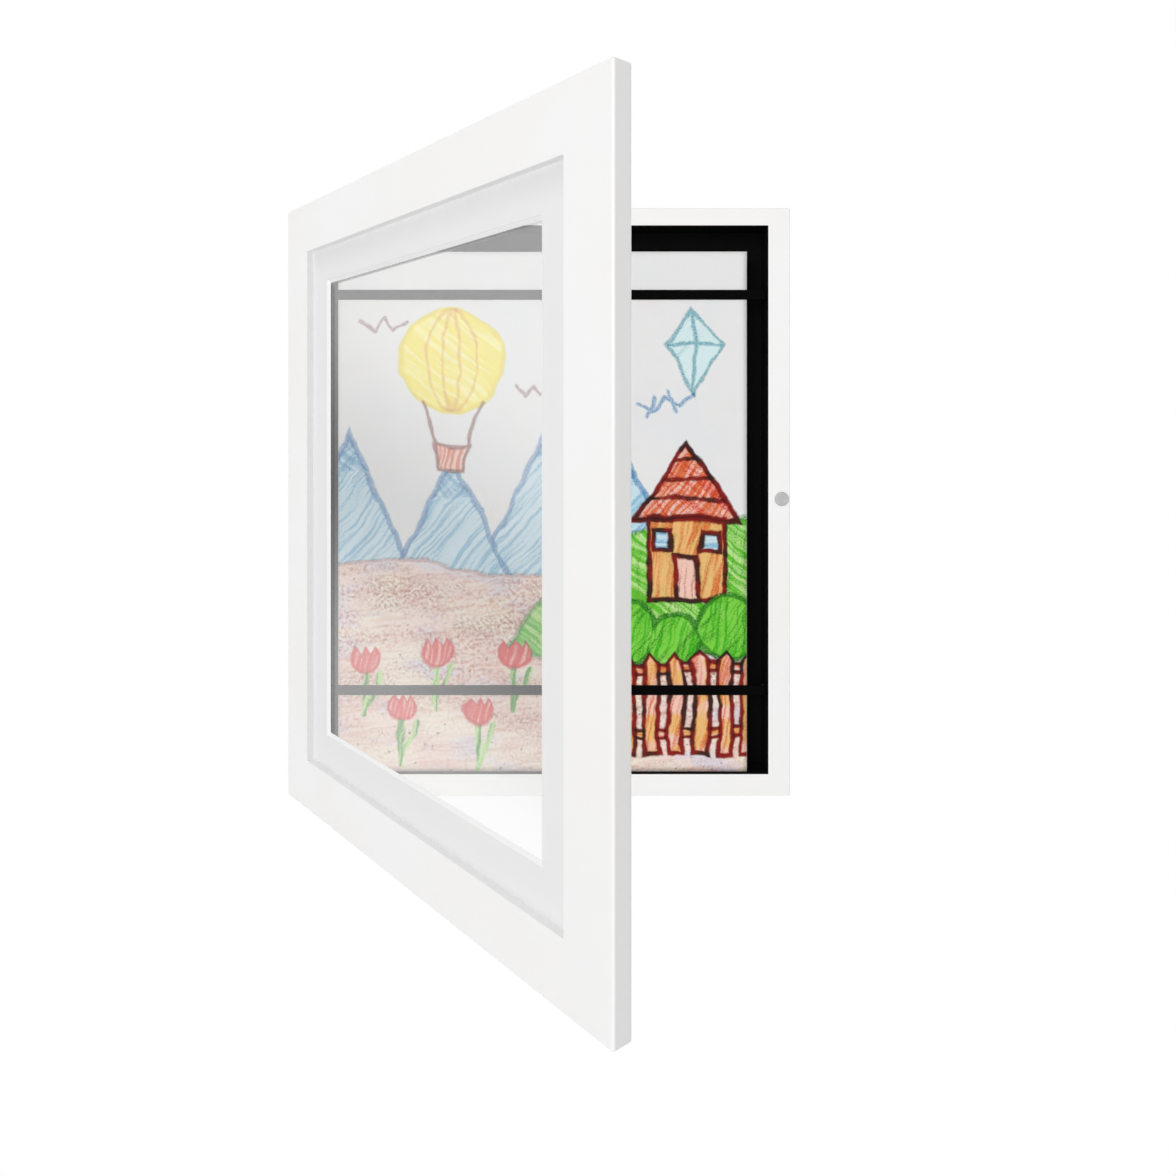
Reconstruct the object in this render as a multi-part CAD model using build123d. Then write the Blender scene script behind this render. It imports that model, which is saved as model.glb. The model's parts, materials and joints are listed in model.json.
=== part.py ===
from build123d import *
import os
from collections import namedtuple
from math import copysign, sin

# Children's art frame: a shallow box that hangs on the wall, and a picture-frame door on its left side.
# All lengths are millimetres. While it is drawn, the door is shut, X = 0 and Z = 0 are the middle of the
# box, Y = 0 is the front face of its rails and +Y points at the wall.

# Sheets, and the room around them that sets the size of the whole frame
sheet_width = 215.9
sheet_height = 274.8
sheet = 0.5
sheet_side_room = 9.15
sheet_top_room = 13.0
sheet_shift = 1.35
sheet_stray = 0.5
front_room = 2.5

# Box frame
box_face = 11.4
box_top_face = 9.2
box_edge_radius = 0.6
tray_depth = 16.0
box_rebate = 4.0
board_recess = 2.0

# Tray lining and back board
lining = 0.5
floor_card = 1.0
board = 3.0
board_clearance = 0.3

# Door frame
door_side_reveal = 3.0
door_end_reveal = 4.0
door_face = 24.25
door_edge_radius = 1.0
lip_edge_radius = 0.35
lip_depth = 3.5
door_rebate = 5.0
door_angle = 49.6

# Mat and glazing
mat = 1.5
mat_margin = 17.2
glazing = 1.2
panel_clearance = 0.4

# Straps, placed from the top and bottom edges of the sheets
strap_width = 5.2
strap = 0.8
strap_tab = 10.0
strap_upper_drop = 22.7
strap_lower_rise = 43.1

# Strap staples
staple_crown = 3.6
staple_wire = 0.6
staple_leg = 5.0
staple_inset = 5.0

# Hinges
hinge_length = 25.0
hinge_inset = 47.7
hinge_leaf_width = 9.0
hinge_leaf = 0.35
leaf_gap = 0.1
knuckle_radius = 1.4
knuckle_end = 6.5
knuckle_gap = 0.3
pin_radius = 0.75
pin_press = 0.02
pin_running = 0.05
pin_head_radius = 1.1
pin_head = 0.5
barrel_clearance = 0.3
barrel_end_clearance = 1.0

# Screws
screw_radius = 0.6
screw_length = 5.5
screw_head_radius = 1.5
screw_head = 0.9
screw_fit = 0.02
screw_spacing = 15.0
screw_inset = 3.5

# Catch
magnet_radius = 3.7
magnet_edge_radius = 0.3
magnet = 2.6
magnet_proud = 0.3
magnet_wall = 0.6
magnet_rise = 1.5
magnet_fit = 0.05
strike_width = 5.0
strike_height = 14.0
strike = 0.8
strike_proud = 0.2
strike_inset = 1.3
strike_corner_radius = 0.8

# Corner nails and panel points
nail_leg = 4.0
nail = 0.6
nail_depth = 4.5
point_width = 6.0
point = 0.4
point_bite = 3.5
point_reach = 6.0
point_recess = 1.4

# Hangers, their rivets and the wall bumpers
hanger_length = 44.0
hanger_height = 9.0
hanger = 0.8
hanger_tab = 9.0
hanger_ramp = 2.0
hanger_lift = 1.3
hanger_drop = 24.0
tooth_pitch = 2.4
tooth_depth = 1.2
rivet_radius = 1.2
rivet_head_radius = 2.4
rivet_head = 0.6
rivet_fit = 0.02
bumper_radius = 3.0
bumper_nose_radius = 0.5
bumper = 1.5
bumper_inset = 20.0

# How far a cutting tool runs past the face that it starts from
overrun = 5.0

# Places of what repeats, as shares of the opening that they stand around or of the rail that holds them
nail_place_share = 0.32
board_point_across_shares = (-0.34, 0.34)
board_point_up_shares = (-0.36, 0.12, 0.36)
glazing_point_across_shares = (-0.3, 0.3)
glazing_point_up_shares = (-0.34, 0.34)

# How nearly full a further sheet's room has to be for that sheet to count
count_slack_share = 0.01

Opening = namedtuple("Opening", "left right bottom top")


def inset(rectangle, side, bottom, top):
    """The rectangle drawn in by these amounts."""
    return Opening(
        rectangle.left + side,
        rectangle.right - side,
        rectangle.bottom + bottom,
        rectangle.top - top,
    )


# Rectangles seen from the front
box_width = sheet_width + 2 * (sheet_side_room + lining + box_face)
box_height = sheet_height + sheet_top_room + 2 * lining + box_face + box_top_face
box_outer = Opening(-box_width / 2, box_width / 2, -box_height / 2, box_height / 2)
tray_walls = inset(box_outer, box_face, box_face, box_top_face)
tray_inside = inset(tray_walls, lining, lining, lining)
box_rear = inset(tray_walls, -box_rebate, -box_rebate, -box_rebate)
board_edge = inset(box_rear, board_clearance, board_clearance, board_clearance)

door_outer = inset(box_outer, door_side_reveal, door_end_reveal, door_end_reveal)
door_inner = inset(door_outer, door_face, door_face, door_face)
door_rear = inset(door_inner, -door_rebate, -door_rebate, -door_rebate)
panel_edge = inset(door_rear, panel_clearance, panel_clearance, panel_clearance)
mat_window = inset(door_inner, mat_margin, mat_margin, mat_margin)

# Heights of the straps and the hinges
sheet_top = tray_inside.bottom + sheet_height
strap_heights = {"upper": sheet_top - strap_upper_drop, "lower": tray_inside.bottom + strap_lower_rise}
hinge_heights = {"upper": door_outer.top - hinge_inset, "lower": door_outer.bottom + hinge_inset}

# Depths, from the front of the shut door to the wall
door_gap = 2 * hinge_leaf + leaf_gap
door_thickness = lip_depth + mat + glazing + point + point_recess
y_door_back = -door_gap
y_door_front = y_door_back - door_thickness
y_mat = y_door_front + lip_depth
y_glazing = y_mat + mat
y_glazing_back = y_glazing + glazing
sheets_held = int((tray_depth - front_room) / sheet + count_slack_share)
y_show = tray_depth - sheet * sheets_held
y_strap = y_show - strap
y_board = tray_depth + floor_card
y_board_back = y_board + board
box_depth = y_board_back + board_recess

# Axis of both hinges, and of the swing of the door
axis_x = door_outer.left - knuckle_radius - barrel_clearance
axis_y = -door_gap / 2
swing_axis = Axis((axis_x, axis_y, 0), (0, 0, 1))

# Where the wall's nail holds the upright frame: the roots of the teeth, in the plane of the rear faces
hook_rise = box_outer.top - hanger_drop


def block(x_span, y_span, z_span):
    """A box between three pairs of faces, given in any order."""
    low = [min(span) for span in (x_span, y_span, z_span)]
    size = [max(span) - min(span) for span in (x_span, y_span, z_span)]
    middle = [start + length / 2 for start, length in zip(low, size)]
    return Pos(*middle) * Box(*size)


def panel(edges, y_low, y_high):
    """A flat sheet that fills a rectangle."""
    return block(edges[:2], (y_low, y_high), edges[2:])


def disc(x, z, radius, y_low, y_high):
    """A round piece whose axis points at the wall."""
    return Pos(x, (y_low + y_high) / 2, z) * Rot(X=90) * Cylinder(radius, y_high - y_low)


def post(radius, z_low, z_high):
    """A round piece on the axis of the hinges."""
    return Pos(axis_x, axis_y, (z_low + z_high) / 2) * Cylinder(radius, z_high - z_low)


def face_prism(points, y_low, y_high):
    """A solid whose outline is drawn as seen from the front."""
    outline = make_face(Polyline(*[(x, y_low, z) for x, z in points], close=True))
    return extrude(outline, amount=y_high - y_low, dir=(0, 1, 0))


def plan_prism(points, z_low, z_high):
    """A solid whose outline is drawn as seen from above."""
    outline = make_face(Polyline(*[(x, y, z_low) for x, y in points], close=True))
    return extrude(outline, amount=z_high - z_low, dir=(0, 0, 1))


def frame_ring(outer, inner, rear, y_front, y_step, y_back, edge_radius):
    """A whole frame, eased on its outer edges, with an opening and a wider rebate behind it."""
    solid = fillet(panel(outer, y_front, y_back).edges(), edge_radius)
    solid -= panel(inner, y_front - overrun, y_back)
    return solid - panel(rear, y_step, y_back + overrun)


def mitred(ring, outer, inner, y_low, y_high):
    """The four lengths of a frame, cut apart from its outer corners to its inner corners."""
    corners = {
        "top": ("left", "right", "top"),
        "bottom": ("left", "right", "bottom"),
        "left": ("bottom", "top", "left"),
        "right": ("bottom", "top", "right"),
    }
    lengths = {}
    for side, (start, end, edge) in corners.items():
        points = []
        for rectangle, order in ((outer, (start, end)), (inner, (end, start))):
            for corner in order:
                along, across = getattr(rectangle, corner), getattr(rectangle, edge)
                points.append((along, across) if side in ("top", "bottom") else (across, along))
        lengths[side] = ring & face_prism(points, y_low - overrun, y_high + overrun)
    return lengths


def corner_nails(outer, inner, y_low, y_high):
    """Angled nails, pressed across the four mitres from behind."""
    nails = []
    for x_out, x_in in zip(outer[:2], inner[:2]):
        for z_out, z_in in zip(outer[2:], inner[2:]):
            x = x_out + (x_in - x_out) * nail_place_share
            z = z_out + (z_in - z_out) * nail_place_share
            x_way, z_way = copysign(1, x_in - x_out), copysign(1, z_in - z_out)
            x_span = (x - x_way * nail / 2, x + x_way * nail_leg)
            z_span = (z - z_way * nail / 2, z + z_way * nail_leg)
            along = block(x_span, (y_low, y_high), (z - nail / 2, z + nail / 2))
            nails.append(along + block((x - nail / 2, x + nail / 2), (y_low, y_high), z_span))
    return nails


def edge_points(rectangle, y_low, across_shares, up_shares):
    """Flat points that lie on a panel and are driven into the frame around it."""
    y_span = (y_low, y_low + point)
    width = rectangle.right - rectangle.left
    height = rectangle.top - rectangle.bottom
    x_middle = (rectangle.left + rectangle.right) / 2
    z_middle = (rectangle.bottom + rectangle.top) / 2
    points = []
    for share in across_shares:
        x = x_middle + width * share
        x_span = (x - point_width / 2, x + point_width / 2)
        points.append(block(x_span, y_span, (rectangle.top + point_bite, rectangle.top - point_reach)))
        points.append(block(x_span, y_span, (rectangle.bottom - point_bite, rectangle.bottom + point_reach)))
    for share in up_shares:
        z = z_middle + height * share
        z_span = (z - point_width / 2, z + point_width / 2)
        points.append(block((rectangle.left - point_bite, rectangle.left + point_reach), y_span, z_span))
        points.append(block((rectangle.right + point_bite, rectangle.right - point_reach), y_span, z_span))
    return points


def screws(y_face, way, fit=0):
    """Countersunk screws for one leaf of each hinge, driven the given way from its face."""
    x = axis_x + hinge_leaf_width - screw_inset
    on_end = (Align.CENTER, Align.CENTER, Align.MIN)
    screw = Cone(screw_head_radius + fit, screw_radius + fit, screw_head, align=on_end)
    screw += Cylinder(screw_radius + fit, screw_length + fit, align=on_end)
    places = []
    for z_hinge in hinge_heights.values():
        places += [z_hinge - screw_spacing / 2, z_hinge + screw_spacing / 2]
    return [Pos(x, y_face, z) * Rot(X=-90 * way) * screw for z in places]


def knuckle_spans(z_hinge, on_door):
    """Lengths of the barrel that belong to one leaf: its middle to the door, its ends to the box."""
    low, high = z_hinge - hinge_length / 2, z_hinge + hinge_length / 2
    if on_door:
        return [(low + knuckle_end + knuckle_gap, high - knuckle_end - knuckle_gap)]
    return [(low, low + knuckle_end), (high - knuckle_end, high)]


def hinge_leaf_at(z_hinge, y_low, y_high, on_door):
    """One leaf: a plate with its screw holes, joined to its knuckles."""
    plate_start = axis_x + knuckle_radius + barrel_clearance
    z_span = (z_hinge - hinge_length / 2, z_hinge + hinge_length / 2)
    leaf = block((plate_start, axis_x + hinge_leaf_width), (y_low, y_high), z_span)
    for low, high in knuckle_spans(z_hinge, on_door):
        leaf += block((axis_x, plate_start + hinge_leaf), (y_low, y_high), (low, high))
        leaf += post(knuckle_radius, low, high)
        clearance = pin_running if on_door else pin_press
        leaf -= post(pin_radius + clearance, low - overrun, high + overrun)
    return leaf


def hinge_pin(z_hinge):
    """A pin with a small head at its upper end."""
    low, high = z_hinge - hinge_length / 2, z_hinge + hinge_length / 2
    return post(pin_radius, low, high) + post(pin_head_radius, high, high + pin_head)


def barrel_seats():
    """Grooves for the two barrels along the front edge of the box."""
    reach = hinge_length / 2 + barrel_end_clearance
    radius = knuckle_radius + barrel_clearance
    return [post(radius, z - reach, z + reach) for z in hinge_heights.values()]


def magnet_disc(fit=0):
    """The room for the catch magnet, or with a fit the pocket that it is glued into."""
    x = box_outer.right - magnet_wall - magnet_radius
    return disc(x, magnet_rise, magnet_radius + fit, -magnet_proud, magnet - magnet_proud)


def catch_magnet():
    """The magnet, with its front edge eased."""
    whole = magnet_disc()
    return fillet(whole.faces().sort_by(Axis.Y)[0].edges(), magnet_edge_radius)


def strike_plate():
    """The steel plate on the door that the magnet holds, let in almost flush."""
    x_high = door_outer.right - strike_inset
    z_span = (magnet_rise - strike_height / 2, magnet_rise + strike_height / 2)
    y_span = (y_door_back + strike_proud - strike, y_door_back + strike_proud)
    plate = block((x_high - strike_width, x_high), y_span, z_span)
    return fillet(plate.edges().filter_by(Axis.Y), strike_corner_radius)


def strap_at(z):
    """An elastic strap across the tray, turned back along both side walls."""
    left, right = tray_inside.left, tray_inside.right
    points = [
        (left, y_strap),
        (right, y_strap),
        (right, y_strap + strap_tab),
        (right - strap, y_strap + strap_tab),
        (right - strap, y_strap + strap),
        (left + strap, y_strap + strap),
        (left + strap, y_strap + strap_tab),
        (left, y_strap + strap_tab),
    ]
    return plan_prism(points, z - strap_width / 2, z + strap_width / 2)


def staples():
    """Wire staples through both ends of both straps into the side rails."""
    y = y_strap + staple_inset
    y_span = (y - staple_wire / 2, y + staple_wire / 2)
    fixed = []
    for wall, way in ((tray_inside.left, -1), (tray_inside.right, 1)):
        strap_face = wall - way * strap
        for z in strap_heights.values():
            z_low, z_high = z - staple_crown / 2, z + staple_crown / 2
            crown_span = (strap_face, strap_face - way * staple_wire)
            leg_span = (strap_face, strap_face + way * staple_leg)
            staple = block(crown_span, y_span, (z_low, z_high))
            staple += block(leg_span, y_span, (z_low, z_low + staple_wire))
            staple += block(leg_span, y_span, (z_high - staple_wire, z_high))
            fixed.append(staple)
    return fixed


def sheet_at(y_low, shift):
    """One sheet, standing on the tray's bottom wall."""
    x_span = (shift - sheet_width / 2, shift + sheet_width / 2)
    return block(x_span, (y_low, y_low + sheet), (tray_inside.bottom, sheet_top))


def stored_sheets():
    """The stack under the sheet on show, as many sheets as the tray takes, none quite in line."""
    stack = []
    for place in range(sheets_held - 1):
        stray = sheet_stray * sin(3 * place)
        stack.append(sheet_at(tray_depth - sheet * (place + 1), stray - sheet_shift))
    return stack


def lining_strips():
    """Black card on the four walls of the tray."""
    whole = panel(tray_walls, 0, tray_depth) - panel(tray_inside, -overrun, tray_depth + overrun)
    z_span = (tray_inside.bottom, tray_inside.top)
    return {
        "top": whole & block(tray_walls[:2], (0, tray_depth), (tray_inside.top, tray_walls.top)),
        "bottom": whole & block(tray_walls[:2], (0, tray_depth), (tray_walls.bottom, tray_inside.bottom)),
        "left": whole & block((tray_walls.left, tray_inside.left), (0, tray_depth), z_span),
        "right": whole & block((tray_inside.right, tray_walls.right), (0, tray_depth), z_span),
    }


def bevelled_mat():
    """The mat, with a window whose cut faces lean back at forty-five degrees."""
    ends = []
    for y in (y_mat - overrun, y_mat + mat + overrun):
        grow = y_mat + mat - y
        edges = inset(mat_window, -grow, -grow, -grow)
        corners = [(edges.left, y, edges.bottom), (edges.right, y, edges.bottom)]
        corners += [(edges.right, y, edges.top), (edges.left, y, edges.top)]
        ends.append(make_face(Polyline(*corners, close=True)))
    return panel(panel_edge, y_mat, y_glazing) - loft(ends, ruled=True)


def hanger_plate():
    """A sawtooth hanger for the middle of the upper edge: flat ends, lifted middle, teeth below."""
    y_flat, y_lift = y_board_back, y_board_back + hanger_lift
    end, tab = hanger_length / 2, hanger_length / 2 - hanger_tab
    middle = tab - hanger_ramp
    outer_line = [(tab, y_flat), (middle, y_lift)]
    back = [(-end, y_flat + hanger), (-tab, y_flat + hanger), (-middle, y_lift + hanger)]
    back += [(middle, y_lift + hanger), (tab, y_flat + hanger), (end, y_flat + hanger)]
    front = [(end, y_flat)] + outer_line + [(-x, y) for x, y in reversed(outer_line)] + [(-end, y_flat)]
    z_low = hook_rise - tooth_depth
    plate = plan_prism(back + front, z_low, z_low + hanger_height)
    teeth = int(2 * middle / tooth_pitch)
    for place in range(teeth):
        x = (place - (teeth - 1) / 2) * tooth_pitch
        notch = [(x - tooth_pitch / 2, z_low), (x + tooth_pitch / 2, z_low), (x, z_low + tooth_depth)]
        plate -= face_prism(notch, y_flat - overrun, y_lift + hanger + overrun)
    return plate


def hanger_rivets(fit=0):
    """Two rivets through the flat ends of the hanger and the back board."""
    x = hanger_length / 2 - hanger_tab / 2
    z = hook_rise - tooth_depth + hanger_height / 2
    y_head = y_board_back + hanger
    shanks = [disc(side * x, z, rivet_radius + fit, y_board, y_head) for side in (-1, 1)]
    heads = [disc(side * x, z, rivet_head_radius, y_head, y_head + rivet_head) for side in (-1, 1)]
    return [shank + head for shank, head in zip(shanks, heads)]


def sideways(shape):
    """What is made for the upper edge, moved to the hinge side for hanging the frame sideways."""
    shift = box_outer.top - box_outer.right
    return Rot(Y=-90) * (Pos(0, 0, -shift) * shape)


def wall_bumpers():
    """Soft round feet near the corners of the rear faces."""
    x = (box_outer.right + box_rear.right) / 2
    z = box_outer.top - bumper_inset
    feet = []
    for side in (-1, 1):
        for end in (-1, 1):
            foot = disc(side * x, end * z, bumper_radius, box_depth, box_depth + bumper)
            nose = foot.faces().sort_by(Axis.Y)[-1].edges()
            feet.append(fillet(nose, bumper_nose_radius))
    return feet


def save(name, shape, swings=False):
    """Writes one piece where it is at rest: the door stands open, and the hook is the origin."""
    pieces = shape if isinstance(shape, list) else [shape]
    placed = []
    for piece in pieces:
        solids = piece.solids()
        for solid in solids:
            if swings:
                solid = solid.rotate(swing_axis, -door_angle)
            placed.append(Pos(0, -box_depth, -hook_rise) * solid)
    whole = placed[0] if len(placed) == 1 else Compound(children=placed)
    whole.label = name
    export_step(whole, f"parts/{name}.step")


def build_box():
    """The box frame, its lining and back, and everything that stays on the wall."""
    nails = corner_nails(box_outer, tray_walls, box_depth - nail_depth, box_depth)
    points = edge_points(box_rear, y_board_back, board_point_across_shares, board_point_up_shares)
    leaf_screws = screws(-hinge_leaf, 1)
    screw_holes = screws(-hinge_leaf, 1, screw_fit)
    strap_staples = staples()

    ring = frame_ring(box_outer, tray_walls, box_rear, 0, tray_depth, box_depth, box_edge_radius)
    for tool in nails + points + screw_holes + strap_staples + barrel_seats() + [magnet_disc(magnet_fit)]:
        ring -= tool
    for side, rail in mitred(ring, box_outer, tray_walls, 0, box_depth).items():
        save(f"box_rail_{side}", rail)
    save("box_corner_nails", nails)

    for side, strip in lining_strips().items():
        for staple in strap_staples if side in ("left", "right") else []:
            strip -= staple
        save(f"tray_lining_{side}", strip)
    save("tray_floor_card", panel(board_edge, tray_depth, y_board))

    rivets = hanger_rivets()
    rivet_holes = hanger_rivets(rivet_fit)
    back = panel(board_edge, y_board, y_board_back)
    upright, turned = hanger_plate(), sideways(hanger_plate())
    for hole in rivet_holes:
        back = back - hole - sideways(hole)
        upright -= hole
        turned -= sideways(hole)
    save("back_board", back)
    save("back_board_points", points)
    save("hanger_upright", upright)
    save("hanger_sideways", turned)
    save("hanger_rivets", rivets + [sideways(rivet) for rivet in rivets])
    save("wall_bumpers", wall_bumpers())

    for name, z in strap_heights.items():
        strap_piece = strap_at(z)
        for staple in strap_staples:
            strap_piece -= staple
        save(f"strap_{name}", strap_piece)
    save("strap_staples", strap_staples)
    save("stored_sheets", stored_sheets())
    save("sheet_on_show", sheet_at(y_show, -sheet_shift))

    save("catch_magnet", catch_magnet())
    for name, z in hinge_heights.items():
        leaf = hinge_leaf_at(z, -hinge_leaf, 0, on_door=False)
        for hole in screw_holes:
            leaf -= hole
        save(f"hinge_box_leaf_{name}", leaf)
        save(f"hinge_pin_{name}", hinge_pin(z))
    save("hinge_box_screws", leaf_screws)


def build_door():
    """The door frame and everything that swings with it."""
    nails = corner_nails(door_outer, door_inner, y_door_back - nail_depth, y_door_back)
    points = edge_points(door_rear, y_glazing_back, glazing_point_across_shares, glazing_point_up_shares)
    y_leaf_face = y_door_back + hinge_leaf
    leaf_screws = screws(y_leaf_face, -1)
    screw_holes = screws(y_leaf_face, -1, screw_fit)

    ring = frame_ring(door_outer, door_inner, door_rear, y_door_front, y_mat, y_door_back, door_edge_radius)
    lip = ring.faces().sort_by(Axis.Y)[0].inner_wires()[0].edges()
    ring = fillet(lip, lip_edge_radius)
    for tool in nails + points + screw_holes + [strike_plate()]:
        ring -= tool
    names = {"top": "rail_top", "bottom": "rail_bottom", "left": "stile_hinge_side", "right": "stile_free_side"}
    for side, rail in mitred(ring, door_outer, door_inner, y_door_front, y_door_back).items():
        save(f"door_{names[side]}", rail, swings=True)
    save("door_corner_nails", nails, swings=True)
    save("mat", bevelled_mat(), swings=True)
    save("glazing", panel(panel_edge, y_glazing, y_glazing_back), swings=True)
    save("glazing_points", points, swings=True)
    save("catch_strike_plate", strike_plate(), swings=True)
    for name, z in hinge_heights.items():
        leaf = hinge_leaf_at(z, y_door_back, y_leaf_face, on_door=True)
        for hole in screw_holes:
            leaf -= hole
        save(f"hinge_door_leaf_{name}", leaf, swings=True)
    save("hinge_door_screws", leaf_screws, swings=True)


os.makedirs("parts", exist_ok=True)
build_box()
build_door()
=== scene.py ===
# %% [markdown]
# # A child's art frame, dressed
# The real thing is a shallow white box that hangs on a wall. A white picture-frame door is hinged on its left
# side, and behind the door lies a black-lined tray with a stack of drawings under two elastic straps.
# The construction comes in as a fixed frame of named nodes. This lesson dresses it: every node gets a finish
# made of shader nodes, and the soft things (the straps and the sheets of paper) are modelled again as meshes.

import functools
import json
import math
import random

import bmesh
import bpy
from mathutils import Matrix, Vector

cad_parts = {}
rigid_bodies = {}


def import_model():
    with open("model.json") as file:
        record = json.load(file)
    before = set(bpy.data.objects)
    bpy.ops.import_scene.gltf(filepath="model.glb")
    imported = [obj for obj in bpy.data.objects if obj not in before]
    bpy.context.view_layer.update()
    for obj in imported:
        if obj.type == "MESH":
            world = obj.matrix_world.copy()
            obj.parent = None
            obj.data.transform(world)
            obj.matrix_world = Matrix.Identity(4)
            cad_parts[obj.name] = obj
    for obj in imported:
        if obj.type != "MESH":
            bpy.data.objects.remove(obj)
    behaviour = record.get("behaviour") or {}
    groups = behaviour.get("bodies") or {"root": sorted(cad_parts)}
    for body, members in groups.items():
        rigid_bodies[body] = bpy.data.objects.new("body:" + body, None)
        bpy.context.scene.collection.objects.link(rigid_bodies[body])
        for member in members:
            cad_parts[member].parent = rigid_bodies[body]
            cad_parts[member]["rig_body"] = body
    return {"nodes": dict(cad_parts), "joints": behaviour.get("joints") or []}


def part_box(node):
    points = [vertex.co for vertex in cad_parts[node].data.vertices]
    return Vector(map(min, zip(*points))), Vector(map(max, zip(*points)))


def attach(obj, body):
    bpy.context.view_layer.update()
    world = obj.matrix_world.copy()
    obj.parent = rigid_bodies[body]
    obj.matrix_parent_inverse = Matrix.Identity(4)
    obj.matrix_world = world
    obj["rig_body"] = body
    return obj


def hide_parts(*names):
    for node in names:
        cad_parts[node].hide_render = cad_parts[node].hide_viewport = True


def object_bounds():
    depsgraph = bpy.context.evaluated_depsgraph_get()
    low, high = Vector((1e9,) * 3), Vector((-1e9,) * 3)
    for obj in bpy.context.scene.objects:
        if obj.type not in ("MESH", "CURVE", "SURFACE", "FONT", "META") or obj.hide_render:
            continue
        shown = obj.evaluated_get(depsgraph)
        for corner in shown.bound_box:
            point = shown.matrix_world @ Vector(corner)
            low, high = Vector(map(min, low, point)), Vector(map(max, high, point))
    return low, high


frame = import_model()
cad_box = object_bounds()

# %% [markdown]
# ## Units and the closed door
# Blender works in metres, and a frame like this is best thought of in millimetres, so one value turns one into
# the other. The door stands open at rest. Its patterns are easier to write as if it were shut, flat in front of
# the box, so this cell works out the turn that closes it, about the hinge's own axis.

# %% Millimetres, and the turn that closes the door
MM = 0.001
hinge = frame["joints"][0]
hinge_point = Vector(hinge["pos_m"])
open_angle = -math.radians(hinge["range_deg"][0])
closing = Matrix.Rotation(-open_angle * hinge["axis"][2], 3, "Z")
closed_shift = hinge_point - closing @ hinge_point


def closed(point):
    """Where a point of the open door lies when the door is shut."""
    return closing @ point + closed_shift


def closed_box(node):
    """The corners of a door node with the door shut, from its own vertices."""
    points = [closed(v.co) for v in frame["nodes"][node].data.vertices]
    low = Vector([min(p[i] for p in points) for i in range(3)])
    high = Vector([max(p[i] for p in points) for i in range(3)])
    return low, high


print("door stands open by", round(math.degrees(open_angle), 1), "degrees")
print("mat, door shut, mm:", [[round(v / MM, 1) for v in corner] for corner in closed_box("mat")])

# %% [markdown]
# ## The camera
# The photograph was taken square on, with the lens level, so the box's rim keeps its right angles and only the
# open door shows perspective. The camera looks straight along +Y. The horizon lies above the middle of the
# picture, and a lens shift puts it there without tilting the camera, which would bend the upright edges.

# %% Camera
def added(name, data):
    """A new object in the scene."""
    made = bpy.data.objects.new(name, data)
    bpy.context.scene.collection.objects.link(made)
    return made


PHOTO_SIDE_PX = 1176
HORIZON_PX = 430.9
FOCAL_PX = 886.4
CAMERA_PLACE = Vector((22.69, -488.4, -93.36)) * MM
SENSOR_MM = 36.0

camera_data = bpy.data.cameras.new("camera")
camera_data.sensor_width = SENSOR_MM
camera_data.lens = FOCAL_PX / PHOTO_SIDE_PX * SENSOR_MM
camera_data.shift_y = (HORIZON_PX - PHOTO_SIDE_PX / 2) / PHOTO_SIDE_PX
camera = added("camera", camera_data)
camera.location = CAMERA_PLACE
camera.rotation_euler = (math.radians(90), 0, 0)
bpy.context.scene.camera = camera
print("lens", round(camera_data.lens, 2), "mm, shift", round(camera_data.shift_y, 4))

# %% [markdown]
# ## Wires that Python can calculate with
# A finish is a net of shader nodes, and most of those nodes are plain sums. Clicking them together, or adding
# them one by one in code, hides what is being worked out. So one small class wraps a socket and gives it
# Python's operators: `1 - mask` adds a Math node, and the line of code stays readable. Everything that isn't a
# sum comes from the one method `node`.

# %% The wire
class Wire:
    """One output socket, on which Python's operators add Math nodes."""

    def __init__(self, net, socket):
        self.net = net
        self.socket = socket

    def sum(self, operation, *values):
        return self.net.node("ShaderNodeMath", {"operation": operation}, dict(enumerate(values)))

    def __add__(self, other):
        return self.sum("ADD", self, other)

    def __radd__(self, other):
        return self.sum("ADD", other, self)

    def __sub__(self, other):
        return self.sum("SUBTRACT", self, other)

    def __rsub__(self, other):
        return self.sum("SUBTRACT", other, self)

    def __mul__(self, other):
        return self.sum("MULTIPLY", self, other)

    def __rmul__(self, other):
        return self.sum("MULTIPLY", other, self)

    def __truediv__(self, other):
        return self.sum("DIVIDE", self, other)

    def __abs__(self):
        return self.sum("ABSOLUTE", self)


# %% The net
class Net:
    """A tree of shader nodes: a finish's, or the world's."""

    def __init__(self, tree):
        self.tree = tree

    def node(self, kind, settings=None, sockets=None, output=0):
        """Any node: its settings first, then its sockets' values or links. Returns one output as a wire."""
        made = self.tree.nodes.new(kind)
        for setting, value in (settings or {}).items():
            setattr(made, setting, value)
        for socket, value in (sockets or {}).items():
            self.join(made.inputs[socket], value)
        return Wire(self, made.outputs[output])

    def join(self, socket, value):
        if isinstance(value, Wire):
            self.tree.links.new(value.socket, socket)
        else:
            socket.default_value = value


# %% The finish
class Finish(Net):
    """A material with one Principled shader, and the nodes that feed it."""

    def __init__(self, name, fixed):
        self.material = bpy.data.materials.new(name)
        self.material.use_nodes = True
        super().__init__(self.material.node_tree)
        self.shader = self.tree.nodes["Principled BSDF"]
        for socket, value in fixed.items():
            self.shader.inputs[socket].default_value = value
        self.place = self.node("ShaderNodeTexCoord", output="Object")

    def feed(self, **wires):
        """Ends a finish. Plugs wires into the shader: Base_Color=... goes to its Base Color."""
        for name, value in wires.items():
            self.join(self.shader.inputs[name.replace("_", " ")], value)
        print(self.material.name, "has", len(self.tree.nodes), "nodes")
        return self.material


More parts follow.
